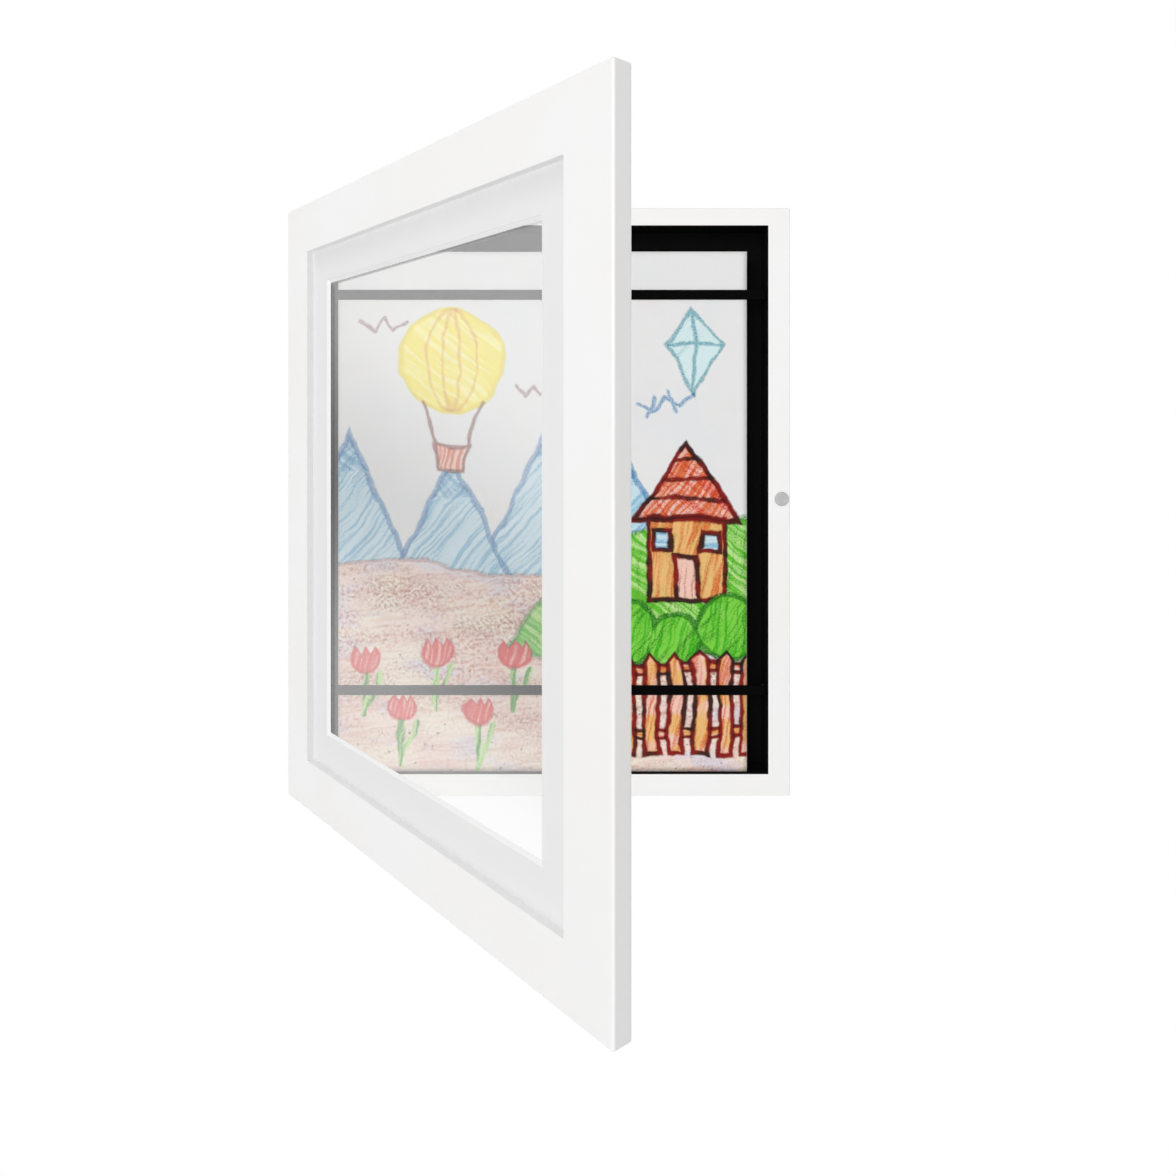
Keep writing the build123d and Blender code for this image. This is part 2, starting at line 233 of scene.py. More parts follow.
# %% [markdown]
# ## Small helpers for finishes
# The same few moves come back in every finish: a noise of a given grain size, a soft threshold, a blend of two
# colours, and a bump. Grain sizes are given in millimetres, because that is how one reads them off the object.
# Colours are given as 0 to 255 screen values, as a picture shows them, and the shader wants linear light, so
# `tone` converts them by the sRGB curve.

# %% Screen colours as linear light
def tone(red, green, blue):
    """A screen colour, 0 to 255, as the linear colour that shaders use."""
    def linear(value):
        share = value / 255
        return share / 12.92 if share <= 0.04045 else ((share + 0.055) / 1.055) ** 2.4
    return (linear(red), linear(green), linear(blue), 1.0)


def grey(level):
    return tone(level, level, level)


print("a screen grey of 128 is a linear", round(grey(128)[0], 3))

# %% Places, noise and thresholds
def turned(place, stretch=(1, 1, 1), turn=(0, 0, 0), shift=(0, 0, 0)):
    """Places scaled, then turned, then shifted."""
    sockets = {"Vector": place, "Scale": stretch, "Rotation": turn, "Location": shift}
    return place.net.node("ShaderNodeMapping", {"vector_type": "POINT"}, sockets)


def noise(place, size_mm, detail=3.0, rough=0.55, unit=MM):
    """Noise from 0 to 1 whose blobs are about size_mm across."""
    sockets = {"Vector": place, "Scale": 1 / (size_mm * unit), "Detail": detail, "Roughness": rough}
    return place.net.node("ShaderNodeTexNoise", None, sockets)


def ranged(value, low, high, to_low=0.0, to_high=1.0):
    """A soft threshold: to_low below low, to_high above high, smooth between."""
    sockets = {"Value": value, "From Min": low, "From Max": high, "To Min": to_low, "To Max": to_high}
    return value.net.node("ShaderNodeMapRange", {"interpolation_type": "SMOOTHSTEP"}, sockets)


def fading(value, start, end):
    """A soft fall, from 1 below start to 0 above end."""
    return ranged(value, start, end, 1.0, 0.0)


def smaller(first, second):
    return first.sum("MINIMUM", first, second)


def larger(first, second):
    return first.sum("MAXIMUM", first, second)


def wave(value):
    return value.sum("SINE", value)


def folded(value, reach):
    """A value that runs up to reach and back to 0, over and over."""
    return value.sum("PINGPONG", value, reach)


def parts_of(vector):
    """The three numbers of a vector, each as a wire."""
    return [vector.net.node("ShaderNodeSeparateXYZ", None, {0: vector}, axis) for axis in range(3)]


# %% Colours laid over each other, and relief
def blended(share, first, second, mode="MIX"):
    """Two colours mixed by a share. A Mix node's colours go in at sockets 6 and 7, and come out at 2."""
    settings = {"data_type": "RGBA", "blend_type": mode}
    return share.net.node("ShaderNodeMix", settings, {0: share, 6: first, 7: second}, 2)


def flecked(colour, fleck, grain, start, full, most=1.0):
    """A second colour laid on where a noise rises past start, up to a share of most where it passes full."""
    return blended(ranged(grain, start, full, 0.0, most), colour, fleck)


def bumped(height, depth_mm):
    """Normals for a height from 0 to 1 that stands for depth_mm of relief."""
    return height.net.node("ShaderNodeBump", None, {"Height": height, "Distance": depth_mm * MM})


def textured(finish, colour, grain, depth_mm, rough):
    """Ends a finish: one grain gives both its relief and its roughness, which goes from rough[0] to rough[1]."""
    roughness = ranged(grain, 0.3, 0.7, *rough)
    return finish.feed(Base_Color=colour, Roughness=roughness, Normal=bumped(grain, depth_mm))


# %% [markdown]
# ## The room
# The photograph is a studio cut-out: everything behind the frame is white, and the light is soft, a little
# stronger from the left. A uniform world gives the soft part, a large lamp in front the rest, and a second one
# behind lights the back, which the photograph doesn't show. The white background comes from Light Path: rays
# that the camera sends, and those reflected or let through by the object, see white at strength 1, while the
# light that falls on the object stays at a plain level. The floor lies well below, because the frame hangs on a
# wall.
#
# The open door stands between the lamp and the tray. In the photograph it throws no shadow there, as if the
# tray had been lit by itself. Another lamp could fill the shadow, and would also brighten the door's free end,
# which is the darkest white in the picture. So the front lamp's shadow linking leaves the door out of what
# blocks it.

# %% World
SKY = (0.44, 0.44, 0.44, 1)
BACKDROP = (1, 1, 1, 1)


def seen_ray(net):
    """1 for the rays that show a backdrop: from the camera, reflected, or let through."""
    kinds = ("Is Camera Ray", "Is Glossy Ray", "Is Transmission Ray")
    return functools.reduce(larger, [net.node("ShaderNodeLightPath", output=kind) for kind in kinds])


world = bpy.data.worlds.new("studio")
world.use_nodes = True
sky = Net(world.node_tree)
sky.join(sky.tree.nodes["Background"].inputs["Color"], blended(seen_ray(sky), SKY, BACKDROP))
bpy.context.scene.world = world
bpy.context.scene.view_settings.view_transform = "Standard"
print("sky level", SKY[0])

# %% Lamps
LAMP_RISE_DEG = 12.0
LAMP_DISTANCE = 3.6
LAMP_SIZE = 3.0
low, high = cad_box
middle = (Vector(low) + Vector(high)) / 2


def soft_lamp(name, level, side_deg):
    """A large square lamp, side_deg to the left of the front, that lights a surface facing it to a level."""
    side, rise = math.radians(side_deg), math.radians(LAMP_RISE_DEG)
    towards = Vector((-math.sin(side) * math.cos(rise), -math.cos(side) * math.cos(rise), math.sin(rise)))
    data = bpy.data.lights.new(name, "AREA")
    data.size = LAMP_SIZE
    data.energy = level * math.pi ** 2 * LAMP_DISTANCE ** 2
    lamp = added(name, data)
    lamp.location = middle + towards * LAMP_DISTANCE
    lamp.rotation_euler = towards.to_track_quat("Z", "Y").to_euler()
    print(name, round(data.energy, 1), "W")
    return lamp


front_lamp = soft_lamp("front_lamp", level=0.69, side_deg=20.5)
soft_lamp("back_lamp", level=0.45, side_deg=205.0)

front_blockers = bpy.data.collections.new("front_blockers")
for node in frame["nodes"].values():
    if node["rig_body"] == "door":
        front_blockers.objects.link(node)
for entry in front_blockers.collection_objects:
    entry.light_linking.link_state = "EXCLUDE"
front_lamp.light_linking.blocker_collection = front_blockers

# %% Floor
FLOOR_DROP = 0.35
FLOOR_SIZE = 8.0
FLOOR_WHITE = grey(225)

floor_mesh = bpy.data.meshes.new("floor")
bm = bmesh.new()
bmesh.ops.create_grid(bm, x_segments=1, y_segments=1, size=FLOOR_SIZE / 2)
bmesh.ops.translate(bm, verts=bm.verts, vec=(middle.x, middle.y, Vector(low).z - FLOOR_DROP))
bm.to_mesh(floor_mesh)
bm.free()
floor = added("floor", floor_mesh)

floor_finish = Finish("floor_white", {"Base Color": FLOOR_WHITE, "Roughness": 0.9})
floor_shader = Wire(floor_finish, floor_finish.shader.outputs[0])
floor_glow = floor_finish.node("ShaderNodeEmission")
choices = {0: seen_ray(floor_finish), 1: floor_shader, 2: floor_glow}
floor_choice = floor_finish.node("ShaderNodeMixShader", None, choices)
floor_finish.join(floor_finish.tree.nodes["Material Output"].inputs[0], floor_choice)
floor_mesh.materials.append(floor_finish.material)
print("floor at", round((Vector(low).z - FLOOR_DROP) / MM), "mm")

# %% [markdown]
# ## White satin paint
# The rails are moulded fibreboard, sprayed white. Sprayed paint is never quite flat: it keeps a fine orange
# peel, and the board's long fibres telegraph through it as a faint streak along each rail. A plain colour would
# look like plastic, so the finish adds both as relief of a few microns, lets the gloss wander a little, and
# warms the white slightly in broad patches. The narrow walls round the door's opening get colours of their own:
# up the sides a painted shade makes them greyer, and along the top and the foot a painted light makes them
# whiter. Streaks need to know which way the rail runs, so there is one finish for upright pieces and
# one for level ones, on the box and again on the door, where the pattern is turned with it.

# %% White, and where the lip's painted light and shade lie
WHITE = grey(245)
WARM_WHITE = tone(245, 243, 239)
PAINT_SPECK = grey(226)
FIBRE_STRETCH = 0.04
# Painted light for the level lip walls (X), painted shade for the upright ones (Z).
LIP_LIGHT_AND_SHADE = {"X": grey(252), "Z": grey(229)}
LIP_EDGE = 0.12 * MM


def rail_place(finish, on_door):
    """Object places as they are on the box, or with the door shut."""
    if not on_door:
        return finish.place
    return turned(finish.place, turn=tuple(closing.to_euler()), shift=tuple(closed_shift))


def door_opening():
    """The left, right, foot and top of the opening in the shut door."""
    left, right = closed_box("door_stile_hinge_side")[1].x, closed_box("door_stile_free_side")[0].x
    foot, top = closed_box("door_rail_bottom")[1].z, closed_box("door_rail_top")[0].z
    return left, right, foot, top


def lip_walls(place, long_axis):
    """1 on two facing walls of the door's opening, 0 from their eased front edge outwards."""
    left, right, foot, top = door_opening()
    start, end, axis = (left, right, 0) if long_axis == "Z" else (foot, top, 2)
    beyond = abs(parts_of(place)[axis] - (start + end) / 2) - (end - start) / 2
    return fading(beyond, 0.0, LIP_EDGE)


print("door opening, mm:", [round(v / MM, 1) for v in door_opening()])

# %% The paint itself
def white_paint(name, long_axis, on_door):
    finish = Finish(name, {"IOR": 1.46})
    place = rail_place(finish, on_door)
    stretch = [1.0, 1.0, 1.0]
    stretch["XYZ".index(long_axis)] = FIBRE_STRETCH
    peel = noise(place, 0.9, detail=2.0)
    fibres = noise(turned(place, tuple(stretch)), 1.6)
    patches = noise(place, 55.0, detail=2.0)
    specks = noise(place, 2.6, detail=5.0, rough=0.75)
    colour = flecked(WHITE, WARM_WHITE, patches, 0.35, 0.7, 0.6)
    colour = flecked(colour, PAINT_SPECK, specks, 0.66, 0.8, 0.25)
    if on_door:
        # Painted shade up the sides of the opening, painted light along its top and foot.
        lip_shading = lip_walls(place, long_axis) * ranged(specks, 0.3, 0.6, 0.8, 1.0)
        colour = blended(lip_shading, colour, LIP_LIGHT_AND_SHADE[long_axis])
    rough = ranged(patches, 0.3, 0.7, 0.38, 0.5) + (peel - 0.5) * 0.12
    relief = peel * 0.55 + fibres * 0.45
    return finish.feed(Base_Color=colour, Roughness=rough, Normal=bumped(relief, 0.022))


paint = {}
for on_door, part_name in ((False, "box"), (True, "door")):
    for long_axis, way in (("X", "level"), ("Z", "upright")):
        paint[part_name, way] = white_paint(f"white_paint_{part_name}_{way}", long_axis, on_door)

# %% [markdown]
# ## The mat
# A mat is a 1.5 mm board with a pale grey-white face paper, cut with a slanted blade, so the slope round the
# window shows the board's whiter core, under the thickness of the face paper. The face has the fine tooth of
# paper, and a painted shade next to the lip, most of all under the top one. The slope could
# be a piece of its own, but it is one board, so a mask finds it: with the door shut, it is all that lies inside
# the outline of the window's front edge, but for the back. The upright slopes carry a painted shade, a little
# greyer than the level ones, whose core white is raised a little as painted light.

# %% The mat's colours, and its window
MAT_THICK = closed_box("mat")[1].y - closed_box("mat")[0].y
MAT_CORE = 0.9 * MAT_THICK
MAT_FACE = tone(235, 235, 236)
MAT_WARM = tone(237, 236, 234)
MAT_TOOTH = grey(222)
# Painted shade on the mat next to the lip, deepest under the top rail.
MAT_LIP_SHADE = grey(221)
# The core's own white, raised a little as painted light on the level slopes; the upright ones get a painted
# shade.
MAT_CORE_LEVEL_LIT = grey(253)
MAT_CORE_UPRIGHT_SHADED = grey(242)
LIP_SHADE_UNDER_TOP = 14 * MM
LIP_SHADE_EDGE = 2.5 * MM
MASK_EDGE = 0.05 * MM


def mat_window():
    """Half the window's width and height, at its rear edge, from the mat's own vertices."""
    low, high = closed_box("mat")
    points = [closed(v.co) - (low + high) / 2 for v in frame["nodes"]["mat"].data.vertices]
    return min(abs(p.x) for p in points), min(abs(p.z) for p in points)


print("mat window, mm:", [round(2 * v / MM, 1) for v in mat_window()])

# %% The mat's finish
def mat_board():
    finish = Finish("mat_board", {"IOR": 1.4, "Specular IOR Level": 0.02})
    place = rail_place(finish, True)
    low, high = closed_box("mat")
    centre = (low + high) / 2
    across, inward, up = parts_of(place)
    half_width, half_height = mat_window()
    beyond_side = abs(across - centre.x) - (half_width + MAT_CORE)
    beyond_end = abs(up - centre.z) - (half_height + MAT_CORE)
    not_back = fading(inward, high.y - (MAT_THICK - MAT_CORE), high.y)
    slope = not_back * fading(larger(beyond_side, beyond_end), -MASK_EDGE, MASK_EDGE)
    tooth = noise(place, 0.35, detail=4.0, rough=0.7)
    cloudy = noise(place, 18.0)
    face = flecked(MAT_FACE, MAT_WARM, cloudy, 0.35, 0.7, 0.5)
    face = flecked(face, MAT_TOOTH, tooth, 0.62, 0.8, 0.35)
    left, right, foot, top = door_opening()
    from_side = (right - left) / 2 - abs(across - (left + right) / 2)
    from_end = (top - foot) / 2 - abs(up - (top + foot) / 2)
    # Painted shade: darker for some millimetres under the top lip, and at the foot of every lip wall.
    lip_shade = larger(fading(top - up, 0.0, LIP_SHADE_UNDER_TOP),
                    ranged(smaller(from_side, from_end), 0.0, LIP_SHADE_EDGE, 0.7, 0.0))
    lip_shade = not_back * lip_shade * ranged(cloudy, 0.3, 0.7, 0.8, 1.0)
    face = blended(lip_shade, face, MAT_LIP_SHADE)
    # Painted shade on the upright slopes, painted light on the level ones.
    upright = ranged(beyond_side - beyond_end, -MASK_EDGE, MASK_EDGE)
    colour = blended(slope, face, blended(upright, MAT_CORE_LEVEL_LIT, MAT_CORE_UPRIGHT_SHADED))
    return textured(finish, colour, tooth, depth_mm=0.03, rough=(0.78, 0.92))


mat_finish = mat_board()

# %% [markdown]
# ## The clear sheet
# The door is glazed with a thin clear sheet, most likely of acrylic. In the photograph it isn't quite clear:
# seen at a slant it veils what lies behind it with a soft white, and with a softer grey in a broad band that
# falls from the hinge side to the free side, a painted reflection of the dark end of the studio. A glass shader
# would be truer to the sheet and would lose that veil, so the finish is a white sheet that lets about two
# thirds of the light pass, by its alpha, and the band is a greyer colour. Light goes through two faces, so
# each veils less. The haze needs light to show, and the mat's slope shades it along the hinge side, so a thin
# dark line of painted shade runs there. Along the top a thin grey line of painted shade lies behind the mat,
# less towards the free side. Both end at the window's outline, because from the back one sees the sheet
# beyond it too. A faint wipe mark varies the gloss.

# %% Clear sheet
VEIL_COVER = 0.363
VEIL = grey(250)
VEIL_SHADE = grey(96)
# Painted reflection: a broad grey band of the studio's dark end across the sheet.
VEIL_REFLECTED = grey(180)
BAND_START = 0.42
BAND_FALL = 0.22
BAND_REACH = 0.4
SHADE_SIDE = 2.2 * MM
# Painted shade: a thin grey line along the window's top, behind the mat.
TOP_SHADE = grey(149)
TOP_SHADE_COVER = 0.84
TOP_SHADE_COVER_FREE = 0.45
TOP_SHADE_LINE = 1.0 * MM
TOP_SHADE_FADE = 26 * MM
EDGE_BLUR = 0.4 * MM
WIPE_DEG = 25


def per_face(veil):
    """The share for each of two faces that together veil as much as asked."""
    return 1 - math.sqrt(1 - veil)


def clear_sheet():
    finish = Finish("clear_sheet", {"IOR": 1.49, "Specular IOR Level": 0.5})
    mat_low, mat_high = closed_box("mat")
    centre = (mat_low + mat_high) / 2
    half_width, half_height = mat_window()
    across, _, height = parts_of(rail_place(finish, True))
    from_side = across - (centre.x - half_width)
    to_free = centre.x + half_width - across
    from_top = centre.z + half_height - height
    in_window = ranged(smaller(from_top, smaller(from_side, to_free)), -EDGE_BLUR, 0.0)
    shade = in_window * fading(from_side, SHADE_SIDE * 0.4, SHADE_SIDE)
    # Painted shade along the window's top, more opaque, fading towards the free side.
    dust_and_shade = in_window * fading(from_top, TOP_SHADE_LINE * 0.6, TOP_SHADE_LINE)
    # Painted reflection: the grey band falls from the hinge side to the free side.
    band_middle = from_side * (BAND_FALL / (2 * half_width)) + BAND_START
    reflected_band = fading(abs(from_top / (2 * half_height) - band_middle), 0.0, BAND_REACH)
    colour = blended(reflected_band, VEIL, VEIL_REFLECTED)
    colour = blended(dust_and_shade, blended(shade, colour, VEIL_SHADE), TOP_SHADE)
    wiped = turned(finish.place, (1, 1, 0.25), (0, math.radians(WIPE_DEG), 0))
    wiped = noise(wiped, 30.0, detail=4.0)
    veil = (wiped - 0.5) * 0.02 + per_face(VEIL_COVER)
    cover = ranged(to_free, 0.0, TOP_SHADE_FADE, per_face(TOP_SHADE_COVER_FREE), per_face(TOP_SHADE_COVER))
    veil = veil + dust_and_shade * (cover - veil)
    rough = ranged(wiped, 0.35, 0.7, 0.05, 0.14)
    finish.material.use_transparency_overlap = False
    return finish.feed(Base_Color=colour, Alpha=veil, Roughness=rough)


clear_finish = clear_sheet()
print("clear sheet veils", VEIL_COVER, "by two faces of", round(per_face(VEIL_COVER), 3))

# %% [markdown]
# ## Black card, back board, paper, steel and rubber
# The tray is lined with black card, whose surface is matt with short fibres. The back board is brown hardboard,
# felted from wood fibre. The stored sheets show little but their cut edges, in thin layers that have yellowed
# unevenly. The hinges, hangers and fixings are zinc-plated steel with fine rolling lines and a slightly cloudy
# plating, and the catch magnet is nickel plated. The bumpers are clear rubber, milky with age. One grain gives
# each its relief and its roughness, because on the real ones both come from the same surface.

# %% Black card
CARD = grey(10)
CARD_FIBRE = grey(19)
CARD_SCUFF = grey(38)


def black_card():
    finish = Finish("black_card", {"Specular IOR Level": 0.06})
    fibres = turned(finish.place, (1, 1, 0.3), (0.3, 0.5, 0.2))
    fibres = noise(fibres, 0.7, detail=4.0, rough=0.7)
    scuffs = noise(turned(finish.place, (0.2, 1, 1)), 6.0, detail=5.0, rough=0.7)
    colour = flecked(CARD, CARD_FIBRE, fibres, 0.45, 0.75, 0.8)
    colour = flecked(colour, CARD_SCUFF, scuffs, 0.64, 0.8, 0.3)
    return textured(finish, colour, fibres, depth_mm=0.04, rough=(0.75, 0.92))


card_finish = black_card()

# %% Hardboard
BOARD = tone(120, 84, 55)
BOARD_FELT = tone(150, 112, 78)
BOARD_THREAD = tone(95, 62, 38)
BOARD_STAIN = tone(134, 98, 66)


def hardboard():
    finish = Finish("hardboard", {"Specular IOR Level": 0.3})
    felt = noise(finish.place, 1.2, detail=6.0, rough=0.75)
    threads = noise(turned(finish.place, (1, 1, 0.12), (0, 0.6, 0)), 1.0)
    stains = noise(finish.place, 45.0)
    colour = flecked(BOARD, BOARD_FELT, felt, 0.35, 0.7)
    colour = flecked(colour, BOARD_THREAD, threads, 0.62, 0.75, 0.7)
    colour = flecked(colour, BOARD_STAIN, stains, 0.4, 0.7, 0.35)
    return textured(finish, colour, felt, depth_mm=0.05, rough=(0.55, 0.75))


board_finish = hardboard()

# %% Paper of the stored sheets
PAPER_EDGE = tone(232, 230, 224)
PAPER_GAP = tone(214, 213, 208)
PAPER_YELLOWED = tone(238, 234, 222)


def stacked_paper():
    finish = Finish("stacked_paper", {"Specular IOR Level": 0.25})
    tooth = noise(finish.place, 0.4, detail=4.0, rough=0.7)
    cloudy = noise(finish.place, 9.0)
    layers = noise(turned(finish.place, (0.05, 1, 0.05)), 0.9, detail=2.0)
    colour = flecked(PAPER_EDGE, PAPER_GAP, layers, 0.3, 0.7)
    colour = flecked(colour, PAPER_YELLOWED, cloudy, 0.5, 0.8, 0.4)
    return textured(finish, colour, tooth, depth_mm=0.03, rough=(0.82, 0.95))


stack_finish = stacked_paper()

# %% Zinc-plated steel and nickel
def plated(name, base, cloud, rolled_mm, rough):
    finish = Finish(name, {"Metallic": 1.0})
    rolled = noise(turned(finish.place, (1, 1, 0.06)), rolled_mm, detail=4.0, rough=0.65)
    clouds = noise(finish.place, 2.4, detail=4.0, rough=0.6)
    return textured(finish, flecked(base, cloud, clouds, 0.35, 0.7), rolled, 0.006, rough)


steel_finish = plated("zinc_plated_steel", grey(134), tone(146, 145, 141), rolled_mm=0.25, rough=(0.3, 0.5))
nickel_finish = plated("nickel_plate", grey(166), grey(176), rolled_mm=0.2, rough=(0.35, 0.5))

# %% Rubber bumpers
RUBBER = tone(236, 236, 232)
RUBBER_DUST = tone(206, 204, 198)


def clear_rubber():
    finish = Finish("clear_rubber", {"IOR": 1.45, "Transmission Weight": 0.15})
    dust_and_shade = noise(finish.place, 0.5, detail=4.0, rough=0.7)
    colour = flecked(RUBBER, RUBBER_DUST, dust_and_shade, 0.5, 0.8, 0.5)
    return textured(finish, colour, dust_and_shade, depth_mm=0.01, rough=(0.25, 0.45))


rubber_finish = clear_rubber()

# %% [markdown]
# ## Dressing the nodes
# Each CAD node keeps its shape and place, and only its material slots change. Nodes are picked by their names,
# so that a finish is given once for each kind of piece. What isn't named here is a fixing, of steel.

# %% Materials on the CAD nodes
FINISH_OF = {"back_board": board_finish, "mat": mat_finish, "glazing": clear_finish,
             "catch_magnet": nickel_finish, "wall_bumpers": rubber_finish}

for name, node in frame["nodes"].items():
    finish = FINISH_OF.get(name, steel_finish)
    if name.startswith(("box_rail", "door_rail", "door_stile")):
        upright = "stile" in name or name.endswith(("left", "right"))
        finish = paint[name.split("_")[0], "upright" if upright else "level"]
    elif name.startswith("tray_"):
        finish = card_finish
    for slot in node.material_slots:
        slot.material = finish
print("dressed:", len(frame["nodes"]), "nodes")

# %% [markdown]
# ## The elastic straps
# Each strap is 5 mm woven elastic: rubber threads run along it side by side, wrapped in black yarn, so its face
# is ribbed lengthwise and its edges are soft. It runs flat across the sheets, turns back at each side wall and
# is stapled there. A box would have hard edges and no ribs. Here the cross-section is shaped once, from a
# narrow grid, and then the operators carry it along: extrude along the wall, spin round the corner, extrude
# across the tray, spin, and extrude along the other wall.

# %% Pieces from a bmesh
def finished_piece(name, bm, material, body, slot, *replaced):
    """A mesh object at the origin, with its place in its mesh, riding on a body and standing for CAD nodes."""
    bmesh.ops.recalc_face_normals(bm, faces=bm.faces)
    mesh = bpy.data.meshes.new(name)
    bm.to_mesh(mesh)
    bm.free()
    for polygon in mesh.polygons:
        polygon.use_smooth = True
    mesh.materials.append(material)
    piece = added(name, mesh)
    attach(piece, body)
    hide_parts(*replaced)
    print(name, len(mesh.polygons), "faces")


# %% Carrying a section along
def sorted_out(made):
    """The vertices and the faces among what an operator made."""
    verts = [g for g in made if isinstance(g, bmesh.types.BMVert)]
    faces = [g for g in made if isinstance(g, bmesh.types.BMFace)]
    return verts, faces


def carry(bm, faces, offset, steps=1):
    """Extrudes an end by offset, in equal steps, and returns the new end. Given the edges too, the operator
    takes away the old end, which would otherwise stay inside as a wall."""
    for _ in range(steps):
        edges = list({edge for face in faces for edge in face.edges})
        verts, faces = sorted_out(bmesh.ops.extrude_face_region(bm, geom=faces + edges)["geom"])
        bmesh.ops.translate(bm, verts=verts, vec=offset / steps)
    return faces


# %% Strap shape
STRAP_RIBS = 6
STRAP_COLUMNS = 48
STRAP_RIB_HEIGHT = 0.09 * MM
STRAP_EDGE = 0.35 * MM
STRAP_EDGE_THINNING = 0.96
STRAP_BEND = 0.5 * MM
STRAP_BEND_STEPS = 6
STRAP_RUNS = 24
STRAP_TAB_RUNS = 4
WELD = 0.001 * MM


def strap_section(bm, width, thick, start):
    """A flat ribbed section against the left wall, with its middle at start. Returns its faces."""
    made = bmesh.ops.create_grid(bm, x_segments=STRAP_COLUMNS, y_segments=1, size=0.5)
    for vert in made["verts"]:
        across = vert.co.x * width
        rounding = max(0.0, abs(across) - (width / 2 - STRAP_EDGE)) / STRAP_EDGE
        half = (thick / 2 - STRAP_RIB_HEIGHT) * math.sqrt(1 - STRAP_EDGE_THINNING * rounding ** 2)
        rib = STRAP_RIB_HEIGHT * abs(math.sin(math.pi * STRAP_RIBS * (across / width + 0.5)))
        away = math.copysign(half + rib * (1 - rounding), vert.co.y)
        vert.co = start + Vector((away, 0, across))
    return list(bm.faces)


def turn_corner(bm, faces, pivot):
    """Spins the open end a quarter turn round an upright line through pivot."""
    edges = {edge for face in faces for edge in face.edges}
    verts = {vert for face in faces for vert in face.verts}
    made = bmesh.ops.spin(bm, geom=faces + list(edges) + list(verts), cent=pivot, axis=(0, 0, 1),
                          angle=math.radians(90), steps=STRAP_BEND_STEPS, use_merge=False, use_duplicate=False)
    return sorted_out(made["geom_last"])[1]


def strap(name):
    low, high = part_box(name)
    width = high.z - low.z
    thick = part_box("sheet_on_show")[0].y - low.y
    bend = thick + STRAP_BEND
    bm = bmesh.new()
    start = Vector((low.x + thick / 2, high.y, (low.z + high.z) / 2))
    end = strap_section(bm, width, thick, start)
    tab = Vector((0, low.y + bend - high.y, 0))
    end = carry(bm, end, tab, STRAP_TAB_RUNS)
    end = turn_corner(bm, end, (low.x + bend, low.y + bend, 0))
    end = carry(bm, end, Vector((high.x - low.x - 2 * bend, 0, 0)), STRAP_RUNS)
    end = turn_corner(bm, end, (high.x - bend, low.y + bend, 0))
    carry(bm, end, -tab, STRAP_TAB_RUNS)
    bmesh.ops.remove_doubles(bm, verts=bm.verts, dist=WELD)
    finished_piece(name + "_elastic", bm, elastic_finish, "box", "elastic", name)


# %% [markdown]
# The yarn crosses the rubber threads in a fine zigzag. Along the front the pattern follows X, and along the
# tabs it follows Y. Each straight run changes only one of them, so a sum of the two carries the pattern round
# every corner.

# %% Woven elastic
PICK_ALONG = 0.55 * MM
PICK_ACROSS = 0.87 * MM


def woven_elastic():
    finish = Finish("woven_elastic", {"Specular IOR Level": 0.03})
    across, inward, up = parts_of(finish.place)
    along, rise = (abs(across) - inward) * (math.tau / PICK_ALONG), up * (math.tau / PICK_ACROSS)
    weave = larger(wave(along + rise), wave(along - rise)) * 0.5 + 0.5
    fuzz = noise(finish.place, 0.3, detail=4.0, rough=0.7)
    worn = noise(finish.place, 14.0)
    colour = flecked(grey(2), grey(9), weave, 0.2, 0.9)
    colour = flecked(colour, grey(22), fuzz, 0.6, 0.8, 0.3)
    colour = flecked(colour, grey(12), worn, 0.5, 0.8, 0.2)
    rough = ranged(fuzz, 0.3, 0.7, 0.7, 0.92)
    return finish.feed(Base_Color=colour, Roughness=rough, Normal=bumped(weave, 0.05))


elastic_finish = woven_elastic()
for strap_name in ("strap_upper", "strap_lower"):
    strap(strap_name)

# %% [markdown]
# ## Sheets of paper
# Under the straps lies a stack of used drawing paper. No two sheets lie quite alike: each is shifted and turned
# a little, cut a hair shorter, and waved by the wax and the damp hands. A solid block would show none of that
# at its edges. So each sheet is a grid stood upright and pushed about, then extruded to the paper's thickness.
# The stack is one mesh of many thin shells, and the sheet on show is a finer one, flat under the straps and
# slightly cockled between them, with its free top corners coming forward.

# %% One sheet of paper
PAPER = 0.3 * MM


def paper_sheet(bm, low, high, columns, rows, thick, relief):
    """A sheet whose front lies at low.y, moved forward by relief(across, up) in metres, both from 0 to 1."""
    made = bmesh.ops.create_grid(bm, x_segments=columns, y_segments=rows, size=0.5)
    for vert in made["verts"]:
        across, up = vert.co.x + 0.5, vert.co.y + 0.5
        vert.co.x = low.x + (high.x - low.x) * across
        vert.co.z = low.z + (high.z - low.z) * up
        vert.co.y = low.y - relief(across, up)
    faces = list({face for vert in made["verts"] for face in vert.link_faces})
    carry(bm, faces, Vector((0, thick, 0)))


# %% The stored stack
STACK_SEED = 11
STACK_COLUMNS = 14
STACK_ROWS = 18
STACK_PITCH = 0.5 * MM
STACK_GAP = 0.07 * MM
STACK_STRAY = (0.045 * MM, 0.45 * MM)
STACK_TRIM = (0.045 * MM, 0.9 * MM)
STACK_WAVE = 0.07 * MM
STACK_TURN_DEG = 0.06


def stack_wave(across, up):
    """Slow waves, one and a half over a sheet's width and one over its height."""
    return STACK_WAVE * math.sin(9 * across + 2 * up) * math.cos(7 * up)


